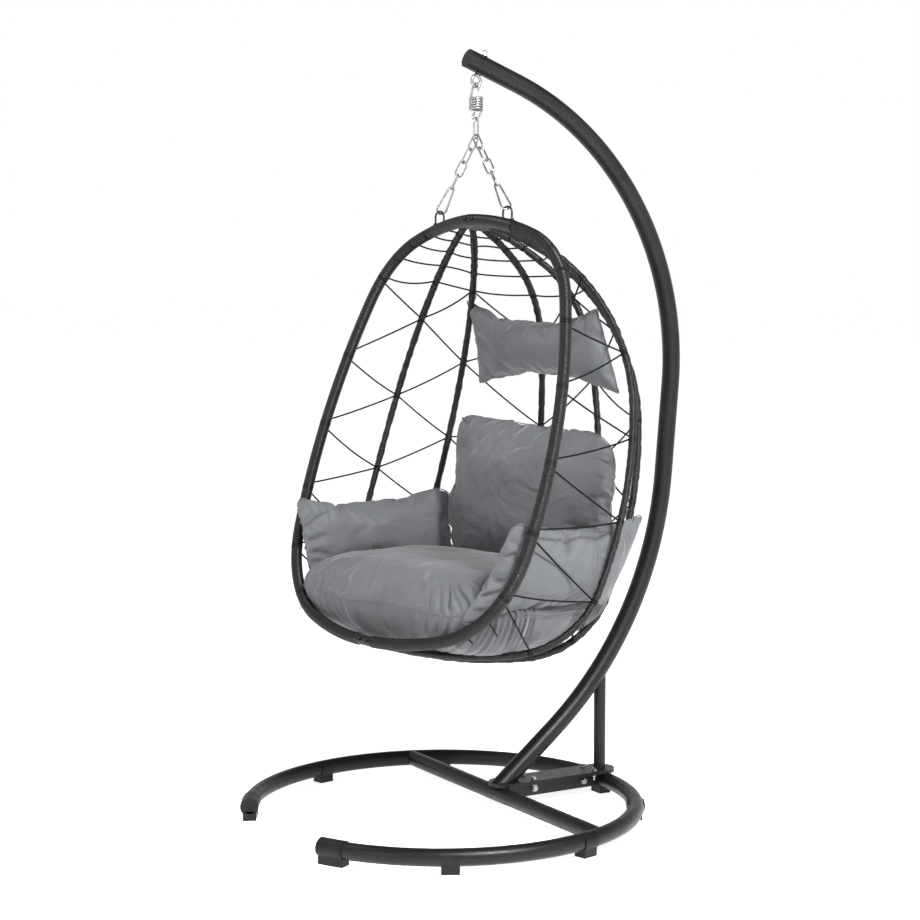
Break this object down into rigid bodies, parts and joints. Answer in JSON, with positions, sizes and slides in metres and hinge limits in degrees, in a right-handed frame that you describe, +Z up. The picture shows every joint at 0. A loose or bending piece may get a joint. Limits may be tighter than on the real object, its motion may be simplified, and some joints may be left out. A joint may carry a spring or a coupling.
{
  "type": "hanging egg chair",
  "caption": "Hanging egg chair: C-shaped steel stand on a round base, leaning basket of wrapped ribs and knotted cord, deep cushions, hung on a spring, carabiners and short chains.",
  "frame": {"origin": "on the ground, under the middle of the whole chair's box", "axes": "+Z up, -Y the way the stand faces, +X to the right of the stand seen from behind"},
  "size_m": [1.0318, 1.2158, 1.9568],
  "materials": {
    "frame_paint": "satin black powder coat",
    "black_plastic": "moulded, fine texture",
    "zinc_steel": "bright zinc plate",
    "chain_steel": "bright zinc plate",
    "rattan_wrap": "black round synthetic rattan, wound side by side, slight gloss",
    "web_cord": "black synthetic rattan cord",
    "cushion_fabric": "grey woven polyester cover over fibre filling",
    "label_cloth": "blank white woven label",
    "rubber": "black rubber"
  },
  "bodies": {
    "stand": {"base_ring": "frame_paint", "ring_end_cap_right": "black_plastic", "ring_end_cap_left": "black_plastic", "foot_clips_right": "black_plastic", "foot_clips_left": "black_plastic", "foot_clip_rear": "black_plastic", "crossbar": "frame_paint", "rear_beam": "frame_paint", "foot_plate_lower": "frame_paint", "foot_plate_upper": "frame_paint", "foot_bolts": "zinc_steel", "foot_nuts": "zinc_steel", "beam_bolts": "zinc_steel", "arm_upper": "frame_paint", "arm_lower": "frame_paint", "arm_spigot": "frame_paint", "arm_end_plug": "black_plastic", "arm_brace": "frame_paint", "eye_bolt": "zinc_steel", "eye_bolt_nut": "zinc_steel", "eye_bolt_grommet": "rubber"},
    "spring": {"spring_coil": "zinc_steel"},
    "spring_end": {"spring_bottom_hook": "zinc_steel"},
    "top_clip": {"top_carabiner": "zinc_steel"},
    "top_gate": {"top_carabiner_gate": "zinc_steel"},
    "chains": {"chain_left_link_1": "chain_steel", "chain_left_link_2": "chain_steel", "chain_left_link_3": "chain_steel", "chain_left_link_4": "chain_steel", "chain_right_link_1": "chain_steel", "chain_right_link_2": "chain_steel", "chain_right_link_3": "chain_steel", "chain_right_link_4": "chain_steel", "carabiner_left": "zinc_steel", "carabiner_right": "zinc_steel"},
    "left_gate": {"carabiner_left_gate": "zinc_steel"},
    "right_gate": {"carabiner_right_gate": "zinc_steel"},
    "basket": {"hanging_eye_left": "frame_paint", "hanging_eye_right": "frame_paint", "hoop_left": "frame_paint", "hoop_right": "frame_paint", "hoop_wrap_left": "rattan_wrap", "hoop_wrap_right": "rattan_wrap", "rib_1": "frame_paint", "rib_2": "frame_paint", "rib_3": "frame_paint", "rib_4": "frame_paint", "rib_5": "frame_paint", "rib_6": "frame_paint", "rib_wraps": "rattan_wrap", "top_joint": "frame_paint", "bottom_joint": "frame_paint", "joint_bolts": "frame_paint", "cord_web": "web_cord", "seat_cushion": "cushion_fabric", "arm_cushion_left": "cushion_fabric", "arm_cushion_right": "cushion_fabric", "back_cushion": "cushion_fabric", "head_pillow": "cushion_fabric", "care_label": "label_cloth"}
  },
  "joints": [
    {"name": "fore_aft_swing", "type": "hinge", "parent": "stand", "child": "spring", "pos_m": [0, -0.039, 1.868], "axis": [1, 0, 0], "range_deg": [-12, 6]},
    {"name": "spring_stretch", "type": "slide", "parent": "spring", "child": "spring_end", "axis": [0, 0, -1], "range_m": [0, 0.02], "stiffness_N_per_m": 30000, "springref_m": -0.02, "deforming": ["spring_coil"]},
    {"name": "basket_turn", "type": "hinge", "parent": "spring_end", "child": "top_clip", "pos_m": [0, -0.039, 1.78], "axis": [0, 0, 1], "range_deg": [-25, 30]},
    {"name": "top_gate_hinge", "type": "hinge", "parent": "top_clip", "child": "top_gate", "pos_m": [-0.00373, -0.03085, 1.77343], "axis": [-0.91, -0.4147, 0], "range_deg": [0, 20], "stiffness_Nm_per_rad": 0.05, "springref_deg": -11.46},
    {"name": "side_swing", "type": "hinge", "parent": "top_clip", "child": "chains", "pos_m": [0, -0.039, 1.7364], "axis": [-0.165, 0.9863, 0], "range_deg": [-5, 5]},
    {"name": "left_gate_hinge", "type": "hinge", "parent": "chains", "child": "left_gate", "pos_m": [-0.09101, -0.06755, 1.60927], "axis": [0.8286, -0.2076, -0.5199], "range_deg": [0, 20], "stiffness_Nm_per_rad": 0.05, "springref_deg": -11.46},
    {"name": "right_gate_hinge", "type": "hinge", "parent": "chains", "child": "right_gate", "pos_m": [0.0918, -0.03879, 1.60615], "axis": [0.8118, -0.2108, 0.5446], "range_deg": [0, 20], "stiffness_Nm_per_rad": 0.05, "springref_deg": -11.46},
    {"name": "basket_rock", "type": "hinge", "parent": "chains", "child": "basket", "pos_m": [0.00169, -0.04915, 1.5501], "axis": [0.9863, 0.165, 0], "range_deg": [-8, 8]}
  ]
}
